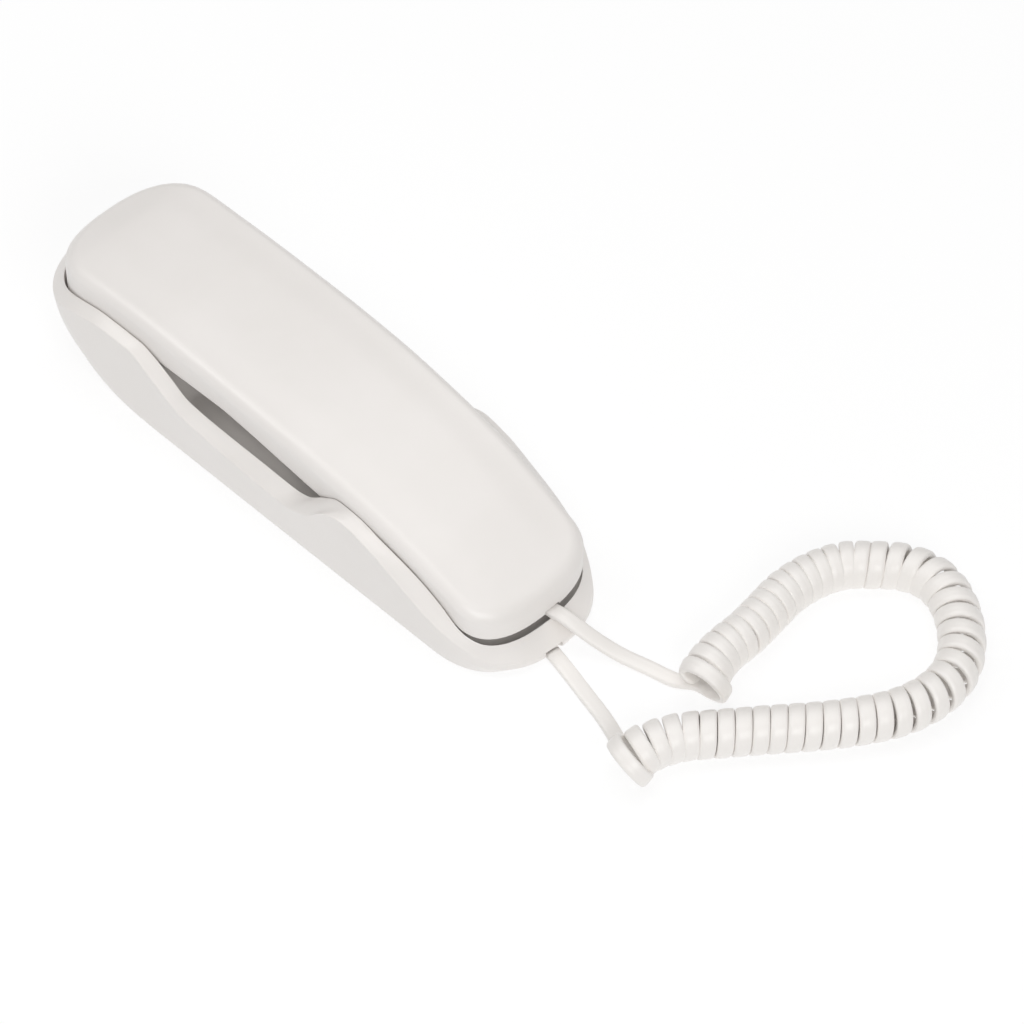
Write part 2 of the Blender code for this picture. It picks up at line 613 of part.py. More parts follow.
def key_bmesh():
    """A key cap with a chamfered face below and its retaining flange above."""
    half_x, half_y = KEY_LENGTH / 2, KEY_WIDTH / 2
    levels = [(-0.6, -KEY_PROUD), (0.0, -KEY_PROUD + 0.6), (0.0, 2.3), (0.7, 2.3), (0.7, 3.1)]
    bm = bmesh.new()
    loops = []
    for grow, z in levels:
        corners = [(-1, -1), (1, -1), (1, 1), (-1, 1)]
        loops.append([bm.verts.new((sx * (half_x + grow), sy * (half_y + grow), z)) for sx, sy in corners])
    bm.faces.new(loops[0])
    bm.faces.new(loops[-1])
    for low, high in zip(loops, loops[1:]):
        for k in range(4):
            bm.faces.new((low[k], low[(k + 1) % 4], high[(k + 1) % 4], high[k]))
    return bm


def key_places():
    """Names and places of the keys on the keypad, rows running from the earpiece to the mouthpiece."""
    names = ["1", "2", "3", "4", "5", "6", "7", "8", "9", "star", "0", "hash"]
    first = -0.5 * KEY_ROWS * KEY_PITCH_X
    places = {}
    for i, name in enumerate(names):
        row, column = divmod(i, 3)
        places["key_" + name] = (first + row * KEY_PITCH_X, (1 - column) * KEY_PITCH_Y)
    last = first + KEY_ROWS * KEY_PITCH_X
    places["key_flash"] = (last, 0.5 * KEY_PITCH_Y)
    places["key_redial"] = (last, -0.5 * KEY_PITCH_Y)
    return places


def make_keypad(key_mat, mat_mat, board_mat, keypad, places):
    for name, (x, y) in places.items():
        make_object(name, key_bmesh(), key_mat, at=(x, y, 0.0), parent=keypad, smooth=False)
    mat_bm = box((-27.0, -19.6, 4.8), (27.0, 19.6, 6.0))
    make_object("keypad_mat", mat_bm, mat_mat, parent=keypad, smooth=False)
    board = box((-27.0, -19.6, 6.3), (27.0, 19.6, 7.9))
    make_object("handset_pcb", board, board_mat, parent=keypad, smooth=False)


def make_handset_sound(black_mat, rubber_mat, steel_mat, lift):
    seat = handset_under(RECEIVER_X) + INNER_PLATE
    gasket = turned([(12.0, seat + GAP), (15.0, seat + GAP), (15.0, seat + 1.3), (12.0, seat + 1.3)])
    make_object("receiver_gasket", gasket, rubber_mat, at=(RECEIVER_X, 0, 0), parent=lift)
    low = seat + 1.3 + GAP
    receiver = turned([(0, low), (14.8, low), (14.8, low + 4.0), (9.5, low + 5.2), (9.5, low + 8.0),
                       (0, low + 8.0)])
    make_object("receiver", receiver, black_mat, at=(RECEIVER_X, 0, 0), parent=lift)

    low = handset_under(MIC_X - 6.0) + INNER_PLATE + GAP
    boot = turned([(3.3, low), (4.5, low), (4.5, low + 2.9), (3.3, low + 2.9)])
    make_object("mic_boot", boot, rubber_mat, at=(MIC_X, MIC_Y, 0), parent=lift)
    mic = turned([(0, low + 0.2), (3.0, low + 0.2), (3.0, low + 3.1), (0, low + 3.1)])
    make_object("microphone", mic, steel_mat, at=(MIC_X, MIC_Y, 0), parent=lift)

    weight = box((-52.0, 6.0, 35.4), (-15.0, 19.0, 41.0))
    make_object("handset_weight", weight, steel_mat, parent=lift, smooth=False)


# ---------------------------------------------------------------- assembly
def empty(name, at, tilt=0.0, parent=None):
    obj = bpy.data.objects.new(name, None)
    bpy.context.scene.collection.objects.link(obj)
    obj.location = Vector(at) * MM
    obj.rotation_euler = (0.0, tilt, 0.0)
    if parent is not None:
        obj.parent = parent
    return obj


def inner_face_tilt(x_from, x_to):
    return math.atan2(handset_under(x_from) - handset_under(x_to), x_to - x_from)


def main():
    clear_scene()
    shell_mat = material("warm_white_abs", WHITE, 0.36)
    cover_mat = material("back_cover_abs", (0.78, 0.75, 0.73, 1.0), 0.5)
    key_mat = material("key_white", (0.86, 0.84, 0.82, 1.0), 0.3)
    cord_mat = material("cord_white_pvc", CORD_WHITE, 0.4)
    board_mat = material("board_green", (0.05, 0.22, 0.10, 1.0), 0.5)
    black_mat = material("black_nylon", (0.03, 0.03, 0.03, 1.0), 0.5)
    rubber_mat = material("grey_silicone", (0.35, 0.35, 0.36, 1.0), 0.7)
    steel_mat = material("zinc_steel", (0.62, 0.62, 0.63, 1.0), 0.35, 1.0)
    brass_mat = material("brass", (0.75, 0.58, 0.28, 1.0), 0.3, 1.0)
    clear_mat = material("clear_polycarbonate", (0.80, 0.82, 0.82, 1.0), 0.15)

    lift = empty("handset_lift", (0, 0, 0))
    middle = 0.5 * (PANEL_START + PANEL_END)
    keypad = empty("keypad_frame", (middle, 0, handset_under(middle)),
                   inner_face_tilt(PANEL_START, PANEL_END), lift)
    tilt = inner_face_tilt(HANDSET_JACK_FACE - 8.0, HANDSET_JACK_FACE + 8.0)
    jack_frame = empty("handset_jack_frame", (HANDSET_JACK_FACE, 0, handset_under(HANDSET_JACK_FACE) + 0.4),
                       tilt, lift)
    base_frame = empty("base_jack_frame", (BASE_JACK_FACE, 0, 0.6))
    keys = key_places()

    base_shanks = screw_shank_tool("base_shank_tool", BASE_SCREWS, lambda x: 1.0, 6.2)
    make_base_shell(shell_mat, base_shanks)
    make_back_cover(cover_mat, base_shanks)
    make_base_electronics(board_mat, black_mat, brass_mat)
    make_hook(key_mat, steel_mat)
    make_slider(key_mat)
    make_jack("base_cord_jack", black_mat, base_frame)
    for i, (x, y) in enumerate(BASE_SCREWS, 1):
        make_screw(f"base_screw_{i}", x, y, 0.4, 6.4, steel_mat)

    handset_shanks = screw_shank_tool("handset_shank_tool", HANDSET_SCREWS,
                                      lambda x: handset_under(x) + 1.0, 8.2)
    make_handset_shell(shell_mat, lift, handset_shanks)
    make_handset_plate(shell_mat, lift, handset_shanks, keypad, jack_frame, keys.values())
    make_keypad(key_mat, rubber_mat, board_mat, keypad, keys)
    make_handset_sound(black_mat, rubber_mat, steel_mat, lift)
    make_jack("handset_cord_jack", black_mat, jack_frame)
    for i, (x, y) in enumerate(HANDSET_SCREWS, 1):
        make_screw(f"handset_screw_{i}", x, y, handset_under(x) + 0.5, 8.0, steel_mat, lift)

    make_plug("plug_handset", clear_mat, jack_frame)
    make_plug("plug_base", clear_mat, base_frame)
    tail = Vector((PLUG[0] - PLUG_IN + GAP + 0.6, 0.0, JACK[2] / 2))
    turn = Matrix.Rotation(tilt, 3, "Y")
    plug_tail = Vector((HANDSET_JACK_FACE, 0, handset_under(HANDSET_JACK_FACE) + 0.4)) + turn @ tail
    make_cord(cord_mat, plug_tail)


main()
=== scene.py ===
import math

import bmesh
import bpy
import numpy as np
from mathutils import Matrix, Vector


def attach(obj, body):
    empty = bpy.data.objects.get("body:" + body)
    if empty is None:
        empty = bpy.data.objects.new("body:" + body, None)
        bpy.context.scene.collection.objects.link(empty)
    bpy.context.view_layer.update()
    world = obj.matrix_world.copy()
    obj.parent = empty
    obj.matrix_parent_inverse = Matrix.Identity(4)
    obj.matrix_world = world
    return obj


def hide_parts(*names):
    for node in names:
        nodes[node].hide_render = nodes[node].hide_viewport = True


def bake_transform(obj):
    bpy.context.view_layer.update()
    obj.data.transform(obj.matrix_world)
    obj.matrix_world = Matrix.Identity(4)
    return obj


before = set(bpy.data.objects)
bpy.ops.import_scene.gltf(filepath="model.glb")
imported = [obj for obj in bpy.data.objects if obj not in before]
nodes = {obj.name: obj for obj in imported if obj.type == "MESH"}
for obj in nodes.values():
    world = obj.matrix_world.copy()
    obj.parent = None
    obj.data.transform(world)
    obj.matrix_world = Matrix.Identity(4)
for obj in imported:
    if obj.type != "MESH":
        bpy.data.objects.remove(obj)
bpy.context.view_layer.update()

MM = 0.001                      # the sizes below are in millimetres
Z = np.array([0.0, 0.0, 1.0])
scene = bpy.context.scene
scene.view_settings.view_transform = "Standard"


# ---------------------------------------------------------------- camera
CAMERA_AZIMUTH, CAMERA_ELEVATION = math.radians(45.06), math.radians(50.02)
CAMERA_TARGET = Vector((0.05237, 0.02723, 0.0))
CAMERA_DISTANCE = 1.5

lens = bpy.data.cameras.new("camera")
lens.lens = 177.5
lens.sensor_width = 36.0
lens.clip_end = 50.0
camera = bpy.data.objects.new("camera", lens)
scene.collection.objects.link(camera)
out = Vector((math.sin(CAMERA_AZIMUTH) * math.cos(CAMERA_ELEVATION),
              -math.cos(CAMERA_AZIMUTH) * math.cos(CAMERA_ELEVATION), math.sin(CAMERA_ELEVATION)))
camera.location = CAMERA_TARGET + out * CAMERA_DISTANCE
camera.rotation_euler = out.to_track_quat("Z", "Y").to_euler()
scene.camera = camera


# ---------------------------------------------------------------- materials
ROUGHNESS_SPREAD = 0.05         # how far the gloss wanders to each side
GRAIN_DEPTH, STRIPE_DEPTH = 0.00008, 0.0001     # in metres, like every length in a node


def material(name, colour, roughness, metallic=0.0, mottle=0.012, mottle_scale=55.0, grain=0.12,
             grain_scale=1900.0, stripes=None):
    """A surface with faint colour mottle, uneven gloss and a fine grain, worked out in object space.

    stripes (count, strength) adds that many raised lines side by side along a UV-mapped ribbon.
    """
    mat = bpy.data.materials.new(name)
    mat.use_nodes = True
    tree = mat.node_tree
    surface = tree.nodes["Principled BSDF"]
    surface.inputs["Metallic"].default_value = metallic
    where = tree.nodes.new("ShaderNodeTexCoord")

    broad = tree.nodes.new("ShaderNodeTexNoise")
    broad.inputs["Scale"].default_value = mottle_scale
    broad.inputs["Detail"].default_value = 4.0
    tree.links.new(where.outputs["Object"], broad.inputs["Vector"])
    tint = tree.nodes.new("ShaderNodeValToRGB")
    tint.color_ramp.elements[0].position = 0.3
    tint.color_ramp.elements[1].position = 0.7
    dark = [c * (1 - mottle) for c in colour]
    dark[2] *= 1 - 0.4 * mottle
    light = [min(1.0, c * (1 + 0.6 * mottle)) for c in colour]
    tint.color_ramp.elements[0].color = (*dark, 1.0)
    tint.color_ramp.elements[1].color = (*light, 1.0)
    tree.links.new(broad.outputs["Fac"], tint.inputs["Fac"])
    tree.links.new(tint.outputs["Color"], surface.inputs["Base Color"])

    fine = tree.nodes.new("ShaderNodeTexNoise")
    fine.inputs["Scale"].default_value = grain_scale
    fine.inputs["Detail"].default_value = 2.0
    tree.links.new(where.outputs["Object"], fine.inputs["Vector"])
    gloss = tree.nodes.new("ShaderNodeMapRange")
    gloss.inputs["To Min"].default_value = roughness - ROUGHNESS_SPREAD
    gloss.inputs["To Max"].default_value = roughness + ROUGHNESS_SPREAD
    tree.links.new(fine.outputs["Fac"], gloss.inputs["Value"])
    tree.links.new(gloss.outputs["Result"], surface.inputs["Roughness"])

    bump = tree.nodes.new("ShaderNodeBump")
    bump.inputs["Strength"].default_value = grain
    bump.inputs["Distance"].default_value = GRAIN_DEPTH
    tree.links.new(fine.outputs["Fac"], bump.inputs["Height"])
    last = bump
    if stripes:
        count, strength = stripes
        uv = tree.nodes.new("ShaderNodeUVMap")
        split = tree.nodes.new("ShaderNodeSeparateXYZ")
        wave = tree.nodes.new("ShaderNodeMath")
        wave.operation = "SINE"
        spread = tree.nodes.new("ShaderNodeMath")
        spread.operation = "MULTIPLY"
        spread.inputs[1].default_value = 2 * math.pi * count
        ribs = tree.nodes.new("ShaderNodeBump")
        ribs.inputs["Strength"].default_value = strength
        ribs.inputs["Distance"].default_value = STRIPE_DEPTH
        tree.links.new(uv.outputs["UV"], split.inputs["Vector"])
        tree.links.new(split.outputs["X"], spread.inputs[0])
        tree.links.new(spread.outputs["Value"], wave.inputs[0])
        tree.links.new(wave.outputs["Value"], ribs.inputs["Height"])
        tree.links.new(bump.outputs["Normal"], ribs.inputs["Normal"])
        last = ribs
    tree.links.new(last.outputs["Normal"], surface.inputs["Normal"])
    return mat


WARM_WHITE = (0.875, 0.843, 0.817)
shell_mat = material("shell_abs", WARM_WHITE, 0.34)
cover_mat = material("cover_abs", (0.74, 0.71, 0.69), 0.55, grain=0.5, grain_scale=900.0)
key_mat = material("key_abs", (0.86, 0.835, 0.81), 0.32)
cord_mat = material("cord_pvc", (0.90, 0.87, 0.84), 0.36, mottle=0.01, stripes=(3.0, 0.16))
board_mat = material("board", (0.02, 0.16, 0.06), 0.4, mottle=0.25, mottle_scale=260.0)
black_mat = material("black_nylon", (0.018, 0.018, 0.018), 0.45, mottle=0.2)
rubber_mat = material("silicone", (0.27, 0.27, 0.28), 0.62, mottle=0.1)
steel_mat = material("zinc_steel", (0.60, 0.60, 0.61), 0.32, metallic=1.0, mottle=0.08,
                     mottle_scale=400.0)
brass_mat = material("brass_plate", (0.72, 0.53, 0.24), 0.3, metallic=1.0, mottle=0.1,
                     mottle_scale=300.0)
clear_mat = material("clear_plug", (0.86, 0.88, 0.88), 0.12, mottle=0.02)
clear_mat.node_tree.nodes["Principled BSDF"].inputs["Transmission Weight"].default_value = 0.75


# ---------------------------------------------------------------- curves
def smooth_line(points):
    """A cubic through (x, z) points that is level at every crest and dip and never overshoots."""
    xs, zs = np.array(points, float).T
    step = np.diff(xs)
    slope = np.diff(zs) / step
    tangent = np.zeros(len(xs))
    tangent[0], tangent[-1] = slope[0], slope[-1]
    for i in range(1, len(xs) - 1):
        if slope[i - 1] * slope[i] > 0:
            tangent[i] = 2.0 / (1.0 / slope[i - 1] + 1.0 / slope[i])

    def value(x):
        x = np.clip(x, xs[0], xs[-1])
        i = np.clip(np.searchsorted(xs, x, side="right") - 1, 0, len(step) - 1)
        t = (x - xs[i]) / step[i]
        ends = (1 + 2 * t) * (1 - t) ** 2 * zs[i] + t * t * (3 - 2 * t) * zs[i + 1]
        lean = t * (1 - t) ** 2 * tangent[i] + t * t * (t - 1) * tangent[i + 1]
        return ends + lean * step[i]

    return value


def distance_along(points):
    """How far along the line through the points each of them lies."""
    return np.concatenate([[0.0], np.cumsum(np.linalg.norm(np.diff(points, axis=0), axis=1))])


def smooth_route(points, spacing):
    """Evenly spaced points on a Catmull-Rom curve through the given ones, and not past them."""
    pts = np.array(points, float)
    pts = np.vstack([2 * pts[0] - pts[1], pts, 2 * pts[-1] - pts[-2]])
    t = np.linspace(0, 1, 24, endpoint=False)[:, None]
    fine = [0.5 * (2 * b + (c - a) * t + (2 * a - 5 * b + 4 * c - d) * t ** 2
                   + (3 * b - a - 3 * c + d) * t ** 3)
            for a, b, c, d in zip(pts, pts[1:], pts[2:], pts[3:])]
    fine = np.vstack(fine + [pts[-2:-1]])
    run = distance_along(fine)
    at = np.linspace(0.0, run[-1], max(2, round(run[-1] / spacing)) + 1)
    return np.column_stack([np.interp(at, run, fine[:, k]) for k in range(fine.shape[1])])


def unit(v):
    return v / np.linalg.norm(v, axis=-1, keepdims=True)


# ---------------------------------------------------------------- meshes
def add_piece(name, verts, faces, mat):
    """A smooth-shaded piece from points in millimetres and faces, on its own slot."""
    mesh = bpy.data.meshes.new(name)
    mesh.from_pydata([tuple(v) for v in np.asarray(verts) * MM], [], faces)
    mesh.validate()
    bm = bmesh.new()
    bm.from_mesh(mesh)
    bmesh.ops.recalc_face_normals(bm, faces=bm.faces)
    bm.to_mesh(mesh)
    bm.free()
    mesh.shade_smooth()
    mesh.materials.append(mat)
    obj = bpy.data.objects.new(name, mesh)
    scene.collection.objects.link(obj)
    return obj


def box_mesh(low, high):
    bm = bmesh.new()
    size = [b - a for a, b in zip(low, high)]
    middle = [(a + b) / 2 for a, b in zip(low, high)]
    placed = Matrix.Translation(middle) @ Matrix.Diagonal((*size, 1.0))
    bmesh.ops.create_cube(bm, size=1.0, matrix=placed)
    return bm


def cut(obj, boxes):
    """Cuts box-shaped openings, given by two corners, and keeps the result as a plain mesh."""
    for low, high in boxes:
        bm = box_mesh(low, high)
        bmesh.ops.recalc_face_normals(bm, faces=bm.faces)
        bmesh.ops.scale(bm, vec=(MM, MM, MM), verts=bm.verts)
        mesh = bpy.data.meshes.new("cut_tool")
        bm.to_mesh(mesh)
        bm.free()
        tool = bpy.data.objects.new("cut_tool", mesh)
        scene.collection.objects.link(tool)
        step = obj.modifiers.new("cut", "BOOLEAN")
        step.operation = "DIFFERENCE"
        step.solver = "EXACT"
        step.object = tool
        bpy.context.view_layer.update()
        evaluated = obj.evaluated_get(bpy.context.evaluated_depsgraph_get())
        made = bpy.data.meshes.new_from_object(evaluated)
        obj.modifiers.clear()
        old = obj.data
        obj.data = made
        made.name = obj.name
        bpy.data.meshes.remove(old)
        bpy.data.objects.remove(tool)


END_STEPS, MID_STEPS = 22, 130  # points round each end and along each side of a plan


def plan_ring(x_lo, x_hi, half_width, round_lo, round_hi, height, power=2.5):
    """Points round a boat-shaped plan with superellipse ends, along -Y first and back along +Y."""
    bend = 2.0 / power
    a = 0.5 * math.pi * np.arange(END_STEPS) / END_STEPS
    lo_x = x_lo + round_lo * (1 - np.cos(a) ** bend)
    hi_x = x_hi - round_hi * (1 - np.cos(a) ** bend)
    width = np.sin(a) ** bend
    mid = np.linspace(x_lo + round_lo, x_hi - round_hi, MID_STEPS + 1)
    x = np.concatenate([lo_x, mid, hi_x[::-1]])
    v = np.concatenate([width, np.ones(MID_STEPS + 1), width[::-1]])
    near = np.column_stack([x, -half_width(x) * v, height(x)])
    far = near[-2:0:-1] * (1, -1, 1)
    return np.vstack([near, far])


SOFT_RINGS = 5                  # rings that take the place of a corner ring


def soften(rings, corner, reach):
    """Rounds the corner that the rings make at one of them, reaching `reach` to each side."""
    before, at, after = rings[corner - 1], rings[corner], rings[corner + 1]
    gap_in = np.linalg.norm(before - at, axis=1, keepdims=True)
    gap_out = np.linalg.norm(after - at, axis=1, keepdims=True)
    start = at + (before - at) * np.minimum(reach / np.maximum(gap_in, 1e-6), 0.48)
    end = at + (after - at) * np.minimum(reach / np.maximum(gap_out, 1e-6), 0.48)
    t = np.linspace(0, 1, SOFT_RINGS)
    made = [start * (1 - s) ** 2 + at * 2 * s * (1 - s) + end * s * s for s in t]
    return rings[:corner] + made + rings[corner + 1:]


def ring_faces(rings):
    """Quads between neighbouring rings, and the first and last ring closed straight across Y."""
    count = len(rings[0])
    faces = []
    for ring in range(len(rings) - 1):
        low, high = ring * count, (ring + 1) * count
        for i in range(count):
            j = (i + 1) % count
            faces.append((low + i, low + j, high + j, high + i))
    for first in (0, (len(rings) - 1) * count):
        for i in range(count // 2):
            across = [i, i + 1, (count - i - 1) % count, (count - i) % count]
            faces.append([first + k for k in dict.fromkeys(across)])
    return np.vstack(rings), faces


# ---------------------------------------------------------------- the cord
RIBBON_WIDTH, RIBBON_THICKNESS, RIBBON_SIDES = 4.9, 2.3, 20
FACE_FULLNESS, EDGE_FULLNESS = 0.62, 0.56       # powers that round the strand's section; 1 is an ellipse
COIL_DIAMETER = 14.2
LEAD_REST = RIBBON_THICKNESS / 2 + 0.1          # height of the strand's middle where it lies on the floor
TURNS, STEPS_PER_TURN = 46, 30
END_RING, RING_REACH = 7.8, 4.0                 # radius of the flared turn at each end, and its reach
START_WAY, START_REACH, START_LEAN = (-0.15, 0.99, 0.0), 3.6, math.radians(29)
END_WAY, END_REACH, END_LEAN = (-0.16, -0.987, 0.0), 6.5, math.radians(36)
LEAD_STEP = 1.5                                 # between points along the leads
LEAD_RUN_ON = 5.0                               # how far a lead follows the end turn's own direction

HANDSET_LEAD = [(78.3, 0.0, 20.8), (81.4, 0.2, 18.8), (86.0, 1.2, 13.9), (93.0, 2.4, 11.7),
                (97.5, 3.4, 11.2), (102.0, 4.6, 9.4), (108.0, 6.6, 6.4), (115.0, 9.4, 3.4),
                (123.0, 12.6, 1.8), (131.0, 15.0, LEAD_REST)]
COIL_ROUTE = [(142.0, 15.2), (138.6, 21.0), (136.9, 29.0), (136.8, 39.0), (135.7, 49.0), (134.8, 58.0),
              (136.0, 68.0), (139.6, 77.0), (145.2, 83.0), (151.5, 88.5), (158.5, 91.5), (165.5, 91.5),
              (173.0, 88.6), (180.6, 83.0), (186.6, 76.0), (190.0, 68.0), (190.3, 58.5), (187.6, 48.5),
              (182.2, 38.8), (175.0, 28.8), (165.8, 17.7), (156.5, 6.2), (149.8, -2.4), (146.4, -10.4),
              (145.4, -16.5), (146.0, -21.0)]
COIL_PITCH = [(0, 5.6), (8, 5.2), (17, 4.4), (64, 4.3), (84, 6.0), (128, 6.1), (150, 5.4), (162, 5.05),
              (222, 5.1), (234, 4.9)]    # how far apart the turns lie along the coil
BASE_LEAD = [(134.5, -12.2, LEAD_REST), (126.5, -9.4, LEAD_REST), (117.0, -7.0, LEAD_REST),
             (107.0, -4.6, 1.5), (99.0, -3.0, 1.9)]
BASE_TAIL = [(99.0, -3.0, 1.9), (92.0, -1.6, 2.4), (84.0, -0.5, 3.0), (74.0, 0.0, 4.0), (67.4, 0.0, 4.8)]


def coil_points():
    """The strand's centre, outward direction and width, turn by turn from handset end to base end.

    Each turn is a ring about the coil's line. The end rings are wider and lean over, because the strand
    comes in along the floor and is pulled aside there; both die out within a few turns.
    """
    line = smooth_route([(*p, 0.0) for p in COIL_ROUTE], 0.25)
    run = distance_along(line)
    ahead = unit(np.gradient(line, axis=0))
    pitch = smooth_line(COIL_PITCH)(run)
    theta = np.concatenate([[0.0], np.cumsum(0.5 * (1 / pitch[1:] + 1 / pitch[:-1]) * np.diff(run))])
    theta *= 2 * math.pi * TURNS / theta[-1]

    at = np.linspace(0, theta[-1], TURNS * STEPS_PER_TURN + 1)
    s = np.interp(at, theta, run)
    centre = np.column_stack([np.interp(s, run, line[:, k]) for k in range(3)])
    along = unit(np.column_stack([np.interp(s, run, ahead[:, k]) for k in range(3)]))
    left = run[-1] - s
    near_start, near_end = 1 / (1 + (s / START_REACH) ** 2), 1 / (1 + (left / END_REACH) ** 2)
    start_way, end_way = unit(np.array(START_WAY)), unit(np.array(END_WAY))
    along = unit(along * (1 - near_start - near_end)[:, None] + start_way * near_start[:, None]
                 + end_way * near_end[:, None])
    lean = START_LEAN * near_start - END_LEAN * near_end
    normal = along * np.cos(lean)[:, None] + Z * np.sin(lean)[:, None]
    level = unit(np.cross(normal, Z))
    up = np.cross(level, normal)
    inner = COIL_DIAMETER / 2 - RIBBON_THICKNESS / 2
    radius = inner + (END_RING - inner) * (np.exp(-s / RING_REACH) + np.exp(-left / RING_REACH))
    centre[:, 2] = radius * up[:, 2] + LEAD_REST + 0.5 * RIBBON_WIDTH * np.abs(np.sin(lean))
    outward = -np.cos(at)[:, None] * up + np.sin(at)[:, None] * level
    width = np.minimum(RIBBON_WIDTH, np.interp(s, run, pitch) + 0.02)
    return centre + radius[:, None] * outward, outward, width


def ribbon(name, points, outward, width=RIBBON_WIDTH):
    """A flat strand with rounded edges along the points, its broad face turned outward."""
    travel = unit(np.gradient(points, axis=0))
    outward = unit(outward - np.sum(outward * travel, axis=1, keepdims=True) * travel)
    across = np.cross(travel, outward)
    sides = RIBBON_SIDES
    a = 2 * math.pi * (np.arange(sides) + 0.5) / sides
    c, s = np.cos(a), np.sin(a)
    px = 0.5 * np.sign(c) * np.abs(c) ** EDGE_FULLNESS
    py = RIBBON_THICKNESS / 2 * np.sign(s) * np.abs(s) ** FACE_FULLNESS
    wide = np.broadcast_to(width, len(points))[:, None, None]
    verts = (points[:, None, :] + across[:, None, :] * wide * px[None, :, None]
             + outward[:, None, :] * py[None, :, None])
    faces = []
    for i in range(len(points) - 1):
        here, there = i * sides, (i + 1) * sides
        for k in range(sides):
            j = (k + 1) % sides
            faces.append((here + k, here + j, there + j, there + k))
    last = (len(points) - 1) * sides
    faces += [tuple(range(sides)), tuple(range(last, last + sides))]
    obj = add_piece(name, verts.reshape(-1, 3), faces, cord_mat)
    layer = obj.data.uv_layers.new(name="ribbon")
    run = distance_along(points)
    for loop in obj.data.loops:
        i, k = divmod(loop.vertex_index, sides)
        layer.data[loop.index].uv = (px[k] + 0.5, run[i] * 0.01)
    return obj


def facing_down(points):
    """Outward directions for a strand that lies flat: under its points, down."""
    return np.tile(-Z, (len(points), 1))


def build_cord():
    """The whole cord: the handset's lead, the coil and the base's lead, and the tail inside the base."""
    coil, coil_out, coil_width = coil_points()
    before = coil[0] + LEAD_RUN_ON * unit(coil[0] - coil[1])
    after = coil[-1] + LEAD_RUN_ON * unit(coil[-1] - coil[-2])
    first = smooth_route(HANDSET_LEAD + [tuple(before), tuple(coil[0])], LEAD_STEP)[:-1]
    last = smooth_route([tuple(coil[-1]), tuple(after)] + BASE_LEAD, LEAD_STEP)[1:]
    points = np.vstack([first, coil, last])
    outward = np.vstack([facing_down(first), coil_out, facing_down(last)])
    width = np.concatenate([np.full(len(first), RIBBON_WIDTH), coil_width,
                            np.full(len(last), RIBBON_WIDTH)])
    cord = ribbon("curly_cord", points, outward, width)
    tail_points = smooth_route(BASE_TAIL, LEAD_STEP)
    tail = ribbon("base_cord_tail", tail_points, facing_down(tail_points))
    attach(tail, "base")
    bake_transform(cord)
    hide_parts("lead_handset", "cord_coil", "lead_base")


build_cord()


# ---------------------------------------------------------------- the phone's own lines
BASE_FRONT, BASE_BACK = 100.0, -100.0
BASE_HALF_WIDTH, BASE_TAPER, WALL_HALF_WIDTH = 29.7, 0.004, 26.0
BASE_TUCK, TUCK_START, TUCK_LENGTH = 0.5, 50.0, 25.0    # the base narrows a little towards the mouthpiece
WALL_BACK, WALL_FRONT, BASE_WALL = -71.0, 97.0, 2.4
CRADLE_GAP, FLOOR_THICKNESS = 0.6, 2.2
HANDSET_BACK, HANDSET_FRONT = -95.0, 93.9
HANDSET_FILLET, HANDSET_WALL, FILLET_STEPS = 3.7, 2.2, 12
CROWN, CROWN_REACH, CROWN_STEPS = 0.7, 12.0, 7          # rise of the top within that reach of the fillet
PANEL_START, PANEL_END, PANEL_HIGH, PANEL_LOW = -10.0, 50.0, 31.4, 22.2
HOOK_X, SLIDER_X, SLIDER_Z, LINE_JACK_X = -62.0, -62.0, 12.0, 12.0
CORD_EXIT_Y, CORD_NOTCH = -2.7, 3.2             # middle and half width of the base's notch for the cord
LEAD_EXIT_Y, LEAD_NOTCH = 2.3, 2.9              # the same of the notch in the handset's lip
RIM_BACK = 28.6                 # height of the rim at the earpiece end
BASE_ROUND, BASE_ROUND_GROWTH = 25.0, 9.0       # length of the rounded ends; the front one grows to the rim
SHARP_EDGE = math.radians(50)

rim = smooth_line([(-100, RIM_BACK), (-90, 28.4), (-75, 32.8), (-62, 35.0), (-52, 35.0), (-42, 29.7),
                   (-29, 22.7), (-14, 20.8), (2, 19.5), (15, 19.1), (23, 21.8), (32, 29.6), (39, 31.8),
                   (48, 29.9), (59, 25.0), (71, 18.8), (83, 11.6), (93, 5.6), (100, 3.6)])
rim_inner = smooth_line([(-97, 32.0), (-88, 32.8), (-76, 35.8), (-65, 37.2), (-50, 36.8), (-45, 34.7),
                         (-38, 30.3), (-30, 25.5), (-20, 24.1), (0, 23.1), (15, 22.5), (20, 23.6),
                         (27, 28.9), (35, 34.0), (42, 33.6), (51, 31.0), (66, 25.7), (75, 20.6),
                         (84, 13.7), (90, 10.7), (96, 9.8)])
cradle_floor = smooth_line([(-96, 22.5), (-58, 22.5), (-50, 26.6), (-46, 26.6), (-37, 14.6), (26, 14.0),
                            (60, 12.0), (94, 6.6)])
handset_top = smooth_line([(-97, 41.3), (-80, 44.8), (-65, 45.8), (-48, 46.2), (-30, 45.9), (-10, 45.2),
                           (10, 43.9), (30, 41.4), (50, 37.4), (65, 32.7), (80, 26.5), (96, 20.3)])
